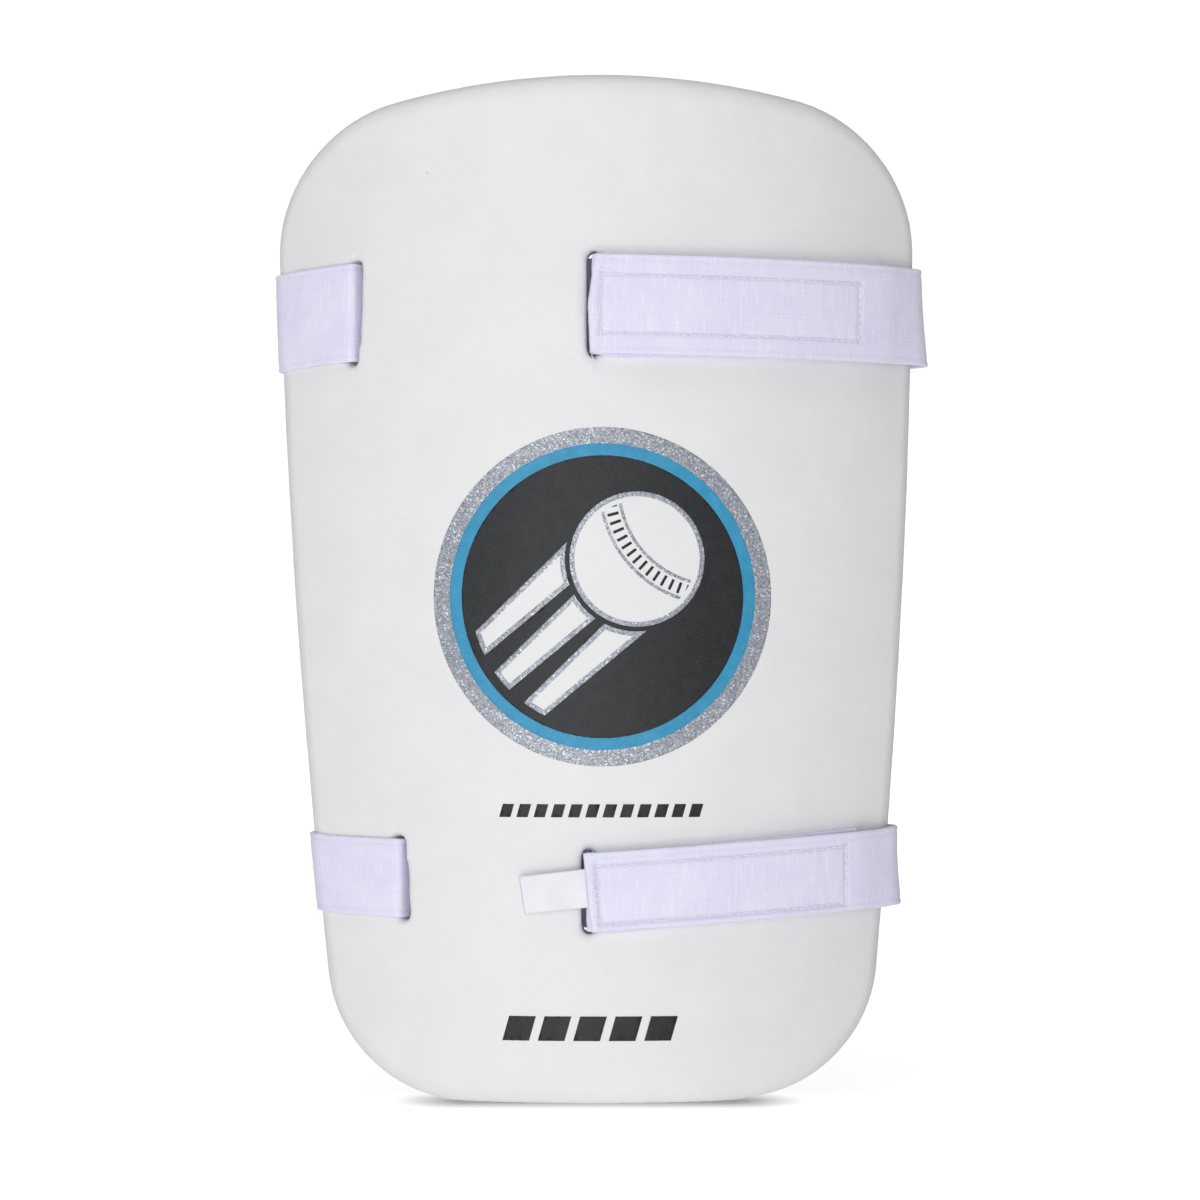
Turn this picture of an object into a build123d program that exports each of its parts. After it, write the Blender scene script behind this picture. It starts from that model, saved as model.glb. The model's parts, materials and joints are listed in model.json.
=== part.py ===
from build123d import *
from math import acos, asin, cos, sin, sqrt, tan
import os

# A one-piece moulded foam thigh guard for a batter, with two elastic straps that close on its front.
# Millimetres. +Z is up, +X is the guard's right as seen from the front, and its convex front faces -Y.
# The origin is the middle of the flattened foot of the bottom edge, on which the guard stands.

# Shell
THICKNESS = 18.0
WRAP_RADIUS = 150.0  # of the front face around the leg, at the belly
BARREL_RADIUS = 1000.0  # of the front face from top to bottom
BELLY_HEIGHT = 190.0  # where the front stands furthest out
FRONT_ROUNDING = 8.0
BACK_ROUNDING = 4.0
SHOULDER_RADIUS = 50.0  # the outline's top corners
HEM_RADIUS = 46.0  # the outline's bottom corners
CROWN = (5.0, 331.8)  # outline, as x and z of the front face before its edge is rounded
TOP_LEFT, TOP_RIGHT = (-109.4, 312.8), (107.3, 314.0)
MIDDLE_LEFT, MIDDLE_RIGHT = (-102.4, 165.0), (102.8, 165.0)
BOTTOM_LEFT, BOTTOM_RIGHT = (-87.8, 2.8), (91.5, 4.3)
HEM = (1.4, -3.4)  # under the foot, which is cut off flat at z = 0

# Strap slots, and the shallow bed behind the shell in which each strap runs from slot to slot
SLOT_WIDTH = 4.6
SLOT_SPARE = 3.0  # a slot is this much taller than its strap is wide
SLOT_CORNER = 2.0
BED_DEPTH = 2.0
BED_SPARE = 4.0  # a bed is this much wider than its strap, and runs this far past its slots
CUT_SPARE = 2.0  # a cutter goes this far past what it cuts

# Layers on the front face, as distances out from it
WEBBING = 1.4  # thickness of the elastic
BELT_LAYER = 0.3
LOOP_LAYER = (1.75, 2.9)
HOOK_LAYER = (3.2, 4.0)
TAB_LAYER = 4.2
STITCH_LAYER = (5.6, 5.95)
LABEL_LAYER = (3.4, 3.8)
PRINT_LAYER = (0.02, 0.25)
EDGE_GAP = 0.9  # between the shell's rounded edges and the elastic around them
SLOT_BEND = 1.6  # of the elastic's middle where it turns into a slot
SLOT_LEAD = 2.5  # of straight elastic beside a turn or an end
LEFT_LEAD = 12.0  # from the left edge to where the elastic lies down on the front
STACK_BEND = 6.0  # where the tab comes down off the end of the strap under it
HINGE_GAP = 0.5

# Hook and loop patches
PATCH_INSET = 2.2  # of the loop patch from the strap's edges, and of both patches from its ends
LOOP_START = 2.0
HOOK_WIDTH = 21.0
HEM_WIDTH = 3.2  # from the tab's free end to its seam
THREAD = 0.6
SEAM_INSET = 1.4  # from the hook patch's edges

# Size label, as the corners of its flap in front view
LABEL_CORNERS = [(-25.3, 73.9), (-4.9, 76.3), (-4.9, 63.8), (-23.4, 61.7)]

# Prints
EMBLEM_CENTRE = (1.4, 163.0)
EMBLEM_RADII = (54.0, 48.8, 45.0)  # silver rim, blue band, black field
BALL_RADIUS = 20.0
BALL_PLACE = (11.0, 12.0)  # from the emblem's middle
TRAIL_ANGLE = 222.0  # the way the streaks run from the ball
TRAIL_PITCH = 13.5
TRAIL_WIDTHS = (9.0, 1.0)  # at the ball's middle, and far behind it
SEAM_CURVE = -34.0  # from the ball's middle to the seam's own, along the streaks' way
SEAM_RADII = (31.0, 37.0)
SEAM_LINE = 1.0
STITCHES = 7  # each side of the middle one
STITCH_TURN = 4.6
STITCH_SIZE = (3.6, 0.9)
OUTLINE_WIDTH = 1.5
SHORT_MARKS = ((1.0, 94.8), 12, 5.5, (3.6, 4.2))  # centre, count, pitch and size of each bar
LONG_MARKS = ((-2.6, 24.5), 5, 11.4, (8.6, 8.0))
MARK_SLANT = 0.28

AXIS_Y = WRAP_RADIUS - BARREL_RADIUS + sqrt(BARREL_RADIUS**2 - BELLY_HEIGHT**2) - THICKNESS / 2
WRAP_AXIS = Axis((0, AXIS_Y, 0), (0, 0, 1))
FAR = 200.0  # past everything, across the front and through it
LAYER_HEIGHTS = (-40.0, BELLY_HEIGHT, 370.0)  # a layer on the front reaches past the shell at both ends
LAYER_SWEEP = 120.0
LAYER_BACK = AXIS_Y - 20.0  # layers on the front lie before this y


class Strap:
    """One elastic strap: its width, how far below its middle its hook patch is sewn, where its slots, its
    tab and its ends are across the front, as x, and the height of its middle at the left edge, the side
    slot, the front slot and the right edge."""

    def __init__(self, name, width, drop, side_slot, front_slot, free_end, hook_end, belt_end, heights):
        self.name, self.width, self.drop = name, width, drop
        self.side_slot, self.front_slot = side_slot, front_slot
        self.free_end, self.hook_end, self.belt_end = free_end, hook_end, belt_end
        self.at_left, self.at_side_slot, self.at_front_slot, self.at_right = heights
        self.low = min(heights) - width / 2 - CUT_SPARE
        self.high = max(heights) + width / 2 + CUT_SPARE
        self.middle = (self.low + self.high) / 2


STRAPS = [
    Strap("upper", 31.75, 0.0, -79.1, -1.4, -2.0, 85.4, 91.0, (252.1, 254.8, 256.1, 254.2)),
    Strap("lower", 25.4, 1.0, -63.8, -3.1, -3.6, 81.0, 83.5, (73.4, 72.4, 68.8, 76.0)),
]


# Surfaces


def front_radius(z, out=0.0):
    """Distance from the wrap axis, at height z, to the face that lies `out` in front of the front face."""
    return WRAP_RADIUS - BARREL_RADIUS + sqrt((BARREL_RADIUS + out) ** 2 - (z - BELLY_HEIGHT) ** 2)


def polar(radius, angle):
    """Plan point at this distance and angle from the wrap axis. Angle 0 is straight to the front."""
    return Vector(radius * sin(angle), AXIS_Y - radius * cos(angle))


def tangent(angle):
    return Vector(cos(angle), sin(angle))


def layer(inner, outer):
    """The solid between two faces that run parallel to the front face."""
    arcs = [[(front_radius(z, out), z) for z in LAYER_HEIGHTS] for out in (inner, outer)]
    face = make_face(
        [
            ThreePointArc(*arcs[0]),
            ThreePointArc(*arcs[1]),
            Line(arcs[0][0], arcs[1][0]),
            Line(arcs[0][2], arcs[1][2]),
        ]
    )
    meridian = Plane(origin=(0, AXIS_Y, 0), x_dir=(0, -1, 0), z_dir=(-1, 0, 0))
    return revolve(meridian * face, WRAP_AXIS, LAYER_SWEEP).rotate(WRAP_AXIS, -LAYER_SWEEP / 2)


def prism(face, near=-FAR, far=FAR):
    """A face drawn in front view, as x and z, extruded from y = near to y = far."""
    return extrude(Plane.XZ.offset(-near) * face, near - far)


def on_front(face, span):
    """A face drawn in front view, as a layer on the front of the guard."""
    return layer(*span) & prism(face, far=LAYER_BACK)


def polygon(*points):
    return make_face(Polyline(*points, close=True))


# Shell


def outline():
    face = make_face(
        [
            ThreePointArc(TOP_LEFT, CROWN, TOP_RIGHT),
            ThreePointArc(TOP_RIGHT, MIDDLE_RIGHT, BOTTOM_RIGHT),
            ThreePointArc(BOTTOM_RIGHT, HEM, BOTTOM_LEFT),
            ThreePointArc(BOTTOM_LEFT, MIDDLE_LEFT, TOP_LEFT),
        ]
    )
    face = fillet(face.vertices().sort_by(Axis.Y)[:2], HEM_RADIUS)
    shoulders = face.vertices().filter_by_position(Axis.Y, BELLY_HEIGHT, FAR + BELLY_HEIGHT)
    return fillet(shoulders, SHOULDER_RADIUS)


def edge_x(z, top, middle, bottom):
    """x at height z on the side of the outline through these three points."""
    (xa, za), (xb, zb), (xc, zc) = top, middle, bottom
    first, second = (xb - xa) / (zb - za), (xc - xb) / (zc - zb)
    return xa + first * (z - za) + (second - first) / (zc - za) * (z - za) * (z - zb)


def slot(strap, x, height):
    """The cutter for one slot, straight in towards the wrap axis."""
    angle = asin(x / front_radius(height))
    place = polar(front_radius(height), angle)
    plane = Plane(origin=(place.X, place.Y, height), x_dir=tangent(angle),
                  z_dir=(sin(angle), -cos(angle), 0))
    shape = RectangleRounded(SLOT_WIDTH, strap.width + SLOT_SPARE, SLOT_CORNER)
    return extrude(plane * shape, THICKNESS + CUT_SPARE, both=True)


def bed(strap):
    """The shallow bed between a strap's slots, on the side of the leg."""
    left = strap.side_slot * (1 - THICKNESS / WRAP_RADIUS) - BED_SPARE
    right = strap.front_slot + BED_SPARE
    half = (strap.width + BED_SPARE) / 2
    face = polygon(
        (left, strap.at_side_slot - half),
        (right, strap.at_front_slot - half),
        (right, strap.at_front_slot + half),
        (left, strap.at_side_slot + half),
    )
    return layer(-THICKNESS - CUT_SPARE, BED_DEPTH - THICKNESS) & prism(face)


def shell():
    skin = layer(-THICKNESS, 0).faces().sort_by(SortBy.AREA)[-1]
    body = thicken(skin & prism(outline()), -THICKNESS)
    front = body.faces().sort_by(SortBy.AREA)[-1]
    body = fillet(front.edges(), FRONT_ROUNDING)
    back = body.faces().sort_by(SortBy.AREA)[-2]
    body = fillet(back.edges(), BACK_ROUNDING)
    body = split(body, Plane.XY)
    for strap in STRAPS:
        body -= slot(strap, strap.side_slot, strap.at_side_slot)
        body -= slot(strap, strap.front_slot, strap.at_front_slot)
        body -= bed(strap)
    return body


# Straps


def offset_path(points, distance):
    """The corners of a path moved to its left by this distance."""
    ways = [(b - a).normalized() for a, b in zip(points, points[1:])]
    lefts = [Vector(-w.Y, w.X) for w in ways]
    corners = [points[0] + lefts[0] * distance]
    for point, before, after in zip(points[1:], lefts, lefts[1:]):
        corners.append(point + (before + after) * (distance / (1 + before.dot(after))))
    return corners + [points[-1] + lefts[-1] * distance]


def side_line(points, radii, distance):
    turns = [(b - a).cross(c - b).Z for a, b, c in zip(points, points[1:], points[2:])]
    radii = [r - distance if turn > 0 else r + distance for r, turn in zip(radii, turns)]
    return FilletPolyline(*offset_path(points, distance), radius=radii)


def ribbon(points, radii, height):
    """A strip of webbing in plan at this height, along a path with rounded corners."""
    sides = [side_line(points, radii, way * WEBBING / 2) for way in (1, -1)]
    ends = [Line(sides[0] @ t, sides[1] @ t) for t in (0, 1)]
    return Pos(0, 0, height) * make_face([*sides[0].edges(), *sides[1].edges(), *ends])


def bow(radius, start, end, lead):
    """Three corners of a path that runs about the wrap axis from angle to angle. The middle one is rounded
    by this radius, and leaves a straight lead at each end."""
    half, part = (end - start) / 2, lead / radius
    return [
        polar(radius / cos(part), start),
        polar(radius / cos(abs(half) - part), start + half),
        polar(radius / cos(part), end),
    ]


def edge_corners(height, x, side):
    """A strap's corners around one side of the shell: at the front face's edge and the back's."""
    out = EDGE_GAP + WEBBING / 2
    radius = front_radius(height)
    angle = asin(x / radius)
    return [
        polar(radius + out, angle) + tangent(angle) * out * side,
        polar(radius - THICKNESS - out, angle) + tangent(angle) * out * side,
    ]


def strap_path(strap, height):
    """A strap's whole course in plan, from the tab's free end round the back to the belt's end, and the
    radius of each of its corners."""
    top = front_radius(height, TAB_LAYER + WEBBING / 2)
    low = front_radius(height, BELT_LAYER + WEBBING / 2)
    behind = front_radius(height, -THICKNESS + BED_DEPTH - BELT_LAYER - WEBBING / 2)
    right_x = edge_x(height, TOP_RIGHT, MIDDLE_RIGHT, BOTTOM_RIGHT)
    left_x = edge_x(height, TOP_LEFT, MIDDLE_LEFT, BOTTOM_LEFT)
    free, end = asin(strap.free_end / top), asin(strap.belt_end / low)
    away = asin((left_x + LEFT_LEAD) / low)
    outer, inner = (asin(x / front_radius(height)) for x in (strap.side_slot, strap.front_slot))
    points = [
        *bow(top, free, end, SLOT_LEAD),
        *edge_corners(height, right_x, 1),
        *edge_corners(height, left_x, -1)[::-1],
        *bow(low, away, outer, SLOT_LEAD),
        *bow(behind, outer, inner, SLOT_LEAD),
        *bow(low, inner, end, SLOT_LEAD),
    ]
    out = EDGE_GAP + WEBBING / 2
    front, back = FRONT_ROUNDING + out, BACK_ROUNDING + out
    outside = [top, STACK_BEND, front, back, back, front, STACK_BEND, low]
    return points, [*outside, SLOT_BEND, SLOT_BEND, behind, SLOT_BEND, SLOT_BEND, low]


def band(points, width):
    """A strip of this width, drawn in front view along these points from left to right."""
    shift = Vector(0, width / 2)
    return polygon(*(p + shift for p in points), *(p - shift for p in points[::-1]))


def strap_slopes(strap):
    """The middle of a strap in front view: across the front and the bed, and across the back."""
    left, right = Vector(-FAR, strap.at_left), Vector(FAR, strap.at_right)
    across = [
        left,
        Vector(TOP_LEFT[0], strap.at_left),
        Vector(strap.side_slot, strap.at_side_slot),
        Vector(strap.front_slot, strap.at_front_slot),
        Vector(TOP_RIGHT[0], strap.at_right),
        right,
    ]
    return across, [left, across[1], across[4], right]


def on_tab(strap, start, end, width, drop=0.0):
    """A rectangle of this width on the strap's slope in front view, this far below the strap's middle."""
    across = strap_slopes(strap)[0]
    near, far = across[3], across[4]
    slope = (far.Y - near.Y) / (far.X - near.X)
    points = [Vector(x, near.Y + (x - near.X) * slope - drop) for x in (start, end)]
    return band(points, width)


def hinge_line(strap, height):
    """The tab's fold line on the elastic's outer face, and the way along the tab from it."""
    points, radii = strap_path(strap, height)
    corner = points[3]
    along, back = (points[2] - corner).normalized(), (points[4] - corner).normalized()
    opening = acos(along.dot(back)) / 2
    place = corner + along * (radii[2] / tan(opening) + HINGE_GAP)
    sideways = Vector(-along.Y, along.X)
    place += sideways * WEBBING / (2 if back.dot(sideways) < 0 else -2)
    return Vector(place.X, place.Y, height), along


def hinge(strap):
    """A point of the tab's hinge, and its axis. Turning by the right-hand rule opens the tab."""
    low, high = (hinge_line(strap, z)[0] for z in (strap.low, strap.high))
    axis = (high - low).normalized()
    return low + axis * ((strap.at_right - low.Z) / axis.Z), axis


def webbing(strap):
    """The strap's elastic, parted at the hinge: the belt, which stays on the shell, and the tab."""
    sections = [ribbon(*strap_path(strap, z), z) for z in (strap.low, strap.high)]
    whole = loft(sections, ruled=True)
    across, behind = (band(points, strap.width) for points in strap_slopes(strap))
    corners = strap_path(strap, strap.middle)[0][3:7]
    parting = sum(c.Y for c in corners) / 4
    whole = (whole & prism(across, far=parting)) + (whole & prism(behind, near=parting))
    place, axis = hinge(strap)
    along = hinge_line(strap, strap.middle)[1]
    blade = Plane(origin=place, x_dir=along - axis * along.dot(axis), z_dir=axis)
    blade = blade * Box(HINGE_GAP, 4 * WEBBING, 2 * strap.width)
    belt, tab = (whole - blade).solids().sort_by(SortBy.VOLUME)[::-1]
    return belt, tab


def seam(strap):
    """The line of sewing that holds a tab's hook patch, as a closed rectangle."""
    start, end = strap.free_end + HEM_WIDTH, strap.hook_end - SEAM_INSET
    width = HOOK_WIDTH - 2 * SEAM_INSET
    outer = on_tab(strap, start, end, width, strap.drop)
    return outer - on_tab(strap, start + THREAD, end - THREAD, width - 2 * THREAD, strap.drop)


def size_label():
    """The blank size tag that is sewn under the lower tab's free end and lies out to its left."""
    return on_front(polygon(*LABEL_CORNERS), LABEL_LAYER)


# Prints


def ball(grow=0.0):
    x, z = EMBLEM_CENTRE
    return Pos(x + BALL_PLACE[0], z + BALL_PLACE[1]) * Circle(BALL_RADIUS + grow)


def trails(grow=0.0):
    """The tapered streaks behind the ball, kept inside the black field and clear of the ball."""
    turned = Pos(*EMBLEM_CENTRE) * Pos(*BALL_PLACE) * Rot(0, 0, TRAIL_ANGLE)
    shape = Sketch()
    for place in (-1, 0, 1):
        middle = place * TRAIL_PITCH
        near, far = TRAIL_WIDTHS[0] / 2 + grow, TRAIL_WIDTHS[1] / 2 + grow
        shape += turned * polygon((0, middle - near), (0, middle + near), (FAR / 2, middle + far),
                                  (FAR / 2, middle - far))
    inside = Pos(*EMBLEM_CENTRE) * Circle(EMBLEM_RADII[2] - 3 * OUTLINE_WIDTH + grow)
    return (shape & inside) - ball(3 * OUTLINE_WIDTH - grow)


def ball_seam():
    """The two lines of the ball's seam, and the stitches between them."""
    turned = Pos(*EMBLEM_CENTRE) * Pos(*BALL_PLACE) * Rot(0, 0, TRAIL_ANGLE)
    lines = Sketch()
    for radius in SEAM_RADII:
        ring = Circle(radius + SEAM_LINE / 2) - Circle(radius - SEAM_LINE / 2)
        lines += turned * (Pos(SEAM_CURVE, 0) * ring)
    stitches = Sketch()
    middle = sum(SEAM_RADII) / 2
    for place in range(-STITCHES, STITCHES + 1):
        stitch = Rot(0, 0, place * STITCH_TURN) * Pos(middle, 0) * Rectangle(*STITCH_SIZE)
        stitches += turned * (Pos(SEAM_CURVE, 0) * stitch)
    inside = ball(-OUTLINE_WIDTH)
    return lines & inside, stitches & inside


def marks(centre, count, pitch, size):
    """A row of slanted bars."""
    x, z = centre
    wide, tall = size
    lean = MARK_SLANT * tall / 2
    bar = polygon(
        (-wide / 2 - lean, -tall / 2),
        (wide / 2 - lean, -tall / 2),
        (wide / 2 + lean, tall / 2),
        (-wide / 2 + lean, tall / 2),
    )
    places = [(i - (count - 1) / 2) * pitch for i in range(count)]
    return [on_front(Pos(x + place, z) * bar, PRINT_LAYER) for place in places]


def emblem():
    """The three inks of the round emblem. The ball and its trails are bare shell, outlined in silver."""
    rim, blue, field = (Pos(*EMBLEM_CENTRE) * Circle(radius) for radius in EMBLEM_RADII)
    around = ball(OUTLINE_WIDTH) + trails(OUTLINE_WIDTH)
    lines, stitches = ball_seam()
    silver = (rim - blue) + (around - ball() - trails()) + lines
    return {
        "emblem_silver": on_front(silver, PRINT_LAYER),
        "emblem_blue": on_front(blue - field, PRINT_LAYER),
        "emblem_black": on_front((field - around) + stitches, PRINT_LAYER),
    }


def nodes():
    parts = {"foam_shell": shell(), **emblem()}
    parts["short_mark_print"] = Compound(marks(*SHORT_MARKS))
    parts["long_mark_print"] = Compound(marks(*LONG_MARKS))
    for strap in STRAPS:
        belt, tab = webbing(strap)
        patch = on_tab(strap, strap.free_end + PATCH_INSET, strap.hook_end, HOOK_WIDTH, strap.drop)
        loop = on_tab(strap, LOOP_START, strap.belt_end - PATCH_INSET, strap.width - 2 * PATCH_INSET)
        parts[strap.name + "_belt"] = belt
        parts[strap.name + "_loop_patch"] = on_front(loop, LOOP_LAYER)
        parts[strap.name + "_tab"] = tab
        parts[strap.name + "_hook_patch"] = on_front(patch, HOOK_LAYER)
        parts[strap.name + "_tab_stitching"] = on_front(seam(strap), STITCH_LAYER)
    parts["size_label"] = size_label()
    return parts


if __name__ == "__main__":
    os.makedirs("parts", exist_ok=True)
    for name, part in nodes().items():
        export_step(part, f"parts/{name}.step")
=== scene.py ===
import json
from math import asin, atan2, ceil, cos, pi, radians, sin, sqrt, tan

import bmesh
import bpy
import numpy as np
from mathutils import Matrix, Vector, noise


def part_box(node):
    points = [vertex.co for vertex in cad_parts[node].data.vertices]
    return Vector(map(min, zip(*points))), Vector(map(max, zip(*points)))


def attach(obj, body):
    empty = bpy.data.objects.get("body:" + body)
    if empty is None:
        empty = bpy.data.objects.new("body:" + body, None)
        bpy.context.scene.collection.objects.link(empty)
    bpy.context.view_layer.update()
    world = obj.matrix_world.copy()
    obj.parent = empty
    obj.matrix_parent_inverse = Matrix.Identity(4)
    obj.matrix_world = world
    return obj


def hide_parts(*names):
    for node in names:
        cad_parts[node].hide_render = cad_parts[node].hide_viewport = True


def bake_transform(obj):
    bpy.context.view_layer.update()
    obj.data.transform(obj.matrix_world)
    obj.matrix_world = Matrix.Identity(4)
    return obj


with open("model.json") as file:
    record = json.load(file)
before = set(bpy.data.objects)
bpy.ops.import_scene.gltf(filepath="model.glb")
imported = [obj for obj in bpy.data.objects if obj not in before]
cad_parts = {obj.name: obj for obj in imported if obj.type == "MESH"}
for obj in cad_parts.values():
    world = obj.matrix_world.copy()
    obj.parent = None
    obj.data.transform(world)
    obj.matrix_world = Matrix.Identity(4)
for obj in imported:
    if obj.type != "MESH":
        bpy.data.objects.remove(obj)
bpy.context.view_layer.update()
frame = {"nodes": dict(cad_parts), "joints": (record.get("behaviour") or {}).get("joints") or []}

# A moulded foam thigh guard with two elastic straps. Its looks are worked out in millimetres, from the same
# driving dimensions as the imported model, and each mesh is made in metres.
MM = 0.001

# Shell
THICKNESS = 18.0
WRAP_RADIUS = 150.0
BARREL_RADIUS = 1000.0
BELLY_HEIGHT = 190.0
FRONT_ROUNDING = 8.0
BACK_ROUNDING = 4.0
TOP_LEFT, TOP_RIGHT = (-109.4, 312.8), (107.3, 314.0)
MIDDLE_LEFT, MIDDLE_RIGHT = (-102.4, 165.0), (102.8, 165.0)
BOTTOM_LEFT, BOTTOM_RIGHT = (-87.8, 2.8), (91.5, 4.3)
AXIS_Y = WRAP_RADIUS - BARREL_RADIUS + sqrt(BARREL_RADIUS**2 - BELLY_HEIGHT**2) - THICKNESS / 2
BARREL_CENTRE = WRAP_RADIUS - BARREL_RADIUS  # its distance from the wrap axis
VOXEL = 1.4
FACET = 0.25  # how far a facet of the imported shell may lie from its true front
FOOT_FLAT = 0.5  # the lowest part of the shell that is pressed flat
SWELL = 0.12  # how uneven the moulded front is
SWELL_SPAN = 34.0

# Layers, as distances out from the front
WEBBING = 1.4
BELT_LAYER = 0.3
BED_DEPTH = 2.0
LOOP_LAYER = (1.75, 2.9)
HOOK_LAYER = (3.2, 4.0)
TAB_LAYER = 4.2
LABEL_LAYER = (3.5, 3.75)
PRINT_LAYER = (-0.1, 0.09)

# Strap courses
LEFT_GAP = 0.2  # between the shell's edge and the elastic round it
RIGHT_GAP = 0.9
SLOT_BEND = 1.6
SLOT_LEAD = 2.5
TAB_LEAD = 5.0
LEFT_LEAD = 12.0
STACK_BEND = 6.0
TAB_BEND = 30.0
FINE, COARSE = 0.7, 2.2  # spacing of a strap mesh's rows, on the tab and elsewhere
COLUMN = 0.62
EDGE_SOFTNESS = 0.3


class Strap:
    """One elastic strap: its width, where its slots, tab and ends are across the front, as x, and the height
    of its middle at the left edge, the side slot, the front slot and the right edge."""

    def __init__(self, name, width, side_slot, front_slot, free_end, hook_end, belt_end, heights):
        self.name, self.width = name, width
        self.side_slot, self.front_slot = side_slot, front_slot
        self.free_end, self.hook_end, self.belt_end = free_end, hook_end, belt_end
        self.heights = heights
        low, high = min(heights) - width / 2, max(heights) + width / 2
        self.levels = (low, (low + high) / 2, high)


UPPER = Strap("upper", 31.75, -79.1, -1.4, -2.0, 85.4, 91.0, (252.1, 254.8, 256.1, 254.2))
LOWER = Strap("lower", 25.4, -63.8, -3.1, -3.6, 81.0, 83.5, (73.4, 72.4, 68.8, 76.0))


# Surfaces


def front_radius(z, out=0.0):
    """Distance from the wrap axis, at height z, to the face that lies `out` in front of the front face."""
    return BARREL_CENTRE + sqrt((BARREL_RADIUS + out) ** 2 - (z - BELLY_HEIGHT) ** 2)


def polar(radius, angle):
    return np.array((radius * sin(angle), AXIS_Y - radius * cos(angle)))


def tangent(angle):
    return np.array((cos(angle), sin(angle)))


def out_from_front(points):
    """How far each point stands out from the front face, and the way out."""
    x, y, z = points[:, 0], points[:, 1] - AXIS_Y, points[:, 2]
    radius = np.hypot(x, y)
    across, up = radius - BARREL_CENTRE, z - BELLY_HEIGHT
    reach = np.hypot(across, up)
    way = np.stack((x / radius * across / reach, y / radius * across / reach, up / reach), axis=1)
    return reach - BARREL_RADIUS, way


def swell(x, z):
    return SWELL * noise.noise(Vector((x, z, 7.0)) / SWELL_SPAN)


def swells(points):
    return np.array([swell(p[0], p[2]) for p in points])


def front_point(x, z, out):
    """The point that shows at x and z in front view and stands `out` in front of the front face."""
    return np.array((x, AXIS_Y - sqrt(front_radius(z, out) ** 2 - x * x), z))


# Meshes


def coordinates(mesh):
    flat = np.zeros(len(mesh.vertices) * 3)
    mesh.vertices.foreach_get("co", flat)
    return flat.reshape(-1, 3) / MM


def set_coordinates(mesh, points):
    mesh.vertices.foreach_set("co", (points * MM).ravel())
    mesh.update()


def add_object(name, mesh, material, smooth=True):
    thing = bpy.data.objects.new(name, mesh)
    bpy.context.scene.collection.objects.link(thing)
    mesh.materials.clear()
    mesh.materials.append(material)
    mesh.polygons.foreach_set("use_smooth", [smooth] * len(mesh.polygons))
    return thing


def make(name, points, faces, material, uvs=None):
    """A mesh object from points in millimetres. uvs has a pair for each point."""
    mesh = bpy.data.meshes.new(name)
    mesh.from_pydata((np.asarray(points) * MM).tolist(), [], faces)
    if uvs is not None:
        layer = mesh.uv_layers.new(name="weave")
        corners = np.zeros(len(mesh.loops), dtype=int)
        mesh.loops.foreach_get("vertex_index", corners)
        layer.data.foreach_set("uv", (np.asarray(uvs)[corners] * MM).ravel())
    return add_object(name, mesh, material)


def applied(thing):
    """A new mesh, with the object's modifiers in it."""
    bpy.context.view_layer.update()
    shaped = thing.evaluated_get(bpy.context.evaluated_depsgraph_get())
    return bpy.data.meshes.new_from_object(shaped)


def smoothstep(low, high, value):
    t = np.clip((value - low) / (high - low), 0.0, 1.0)
    return t * t * (3 - 2 * t)


# Materials


class Nodes:
    """A short way to write a material's nodes."""

    def __init__(self, name):
        self.material = bpy.data.materials.new(name)
        self.material.use_nodes = True
        self.tree = self.material.node_tree
        self.shader = self.tree.nodes["Principled BSDF"]

    def add(self, kind, inputs=(), **settings):
        node = self.tree.nodes.new("ShaderNode" + kind)
        for key, value in settings.items():
            setattr(node, key, value)
        for key, value in dict(inputs).items():
            self.put(node.inputs[key], value)
        return node

    def put(self, socket, value):
        if isinstance(value, bpy.types.NodeSocket):
            self.tree.links.new(value, socket)
        else:
            socket.default_value = value

    def math(self, operation, a, b=0.0, c=0.0):
        node = self.add("Math", {0: a, 1: b, 2: c}, operation=operation)
        return node.outputs[0]

    def mix(self, factor, a, b):
        """A mix of two colours."""
        node = self.add("Mix", data_type="RGBA")
        for socket, value in zip((node.inputs[0], node.inputs[6], node.inputs[7]), (factor, a, b)):
            self.put(socket, value)
        return node.outputs[2]

    def noise(self, vector, scale, detail=2.0, roughness=0.5):
        inputs = {"Vector": vector, "Scale": scale, "Detail": detail, "Roughness": roughness}
        return self.add("TexNoise", inputs).outputs["Fac"]

    def ramp(self, value, low, high, start=0.0, end=1.0):
        inputs = {"Value": value, "From Min": low, "From Max": high, "To Min": start, "To Max": end}
        return self.add("MapRange", inputs).outputs["Result"]

    def scaled(self, vector, scale):
        return self.add("Mapping", {"Vector": vector, "Scale": scale}).outputs["Vector"]

    def place(self):
        """The point on the object, in metres in the row frame."""
        return self.add("TexCoord").outputs["Object"]

    def weave(self):
        """Along and across the webbing, in metres."""
        return self.add("UVMap", uv_map="weave").outputs["UV"]

    def bump(self, height, distance, strength=1.0):
        """Raises the surface by height, where 1 is this distance in metres."""
        inputs = {"Height": height, "Distance": distance, "Strength": strength}
        self.put(self.shader.inputs["Normal"], self.add("Bump", inputs).outputs["Normal"])

    def finish(self, colour, roughness, **constants):
        self.put(self.shader.inputs["Base Color"], colour)
        self.put(self.shader.inputs["Roughness"], roughness)
        for key, value in constants.items():
            self.shader.inputs[key.replace("_", " ")].default_value = value
        return self.material


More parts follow.
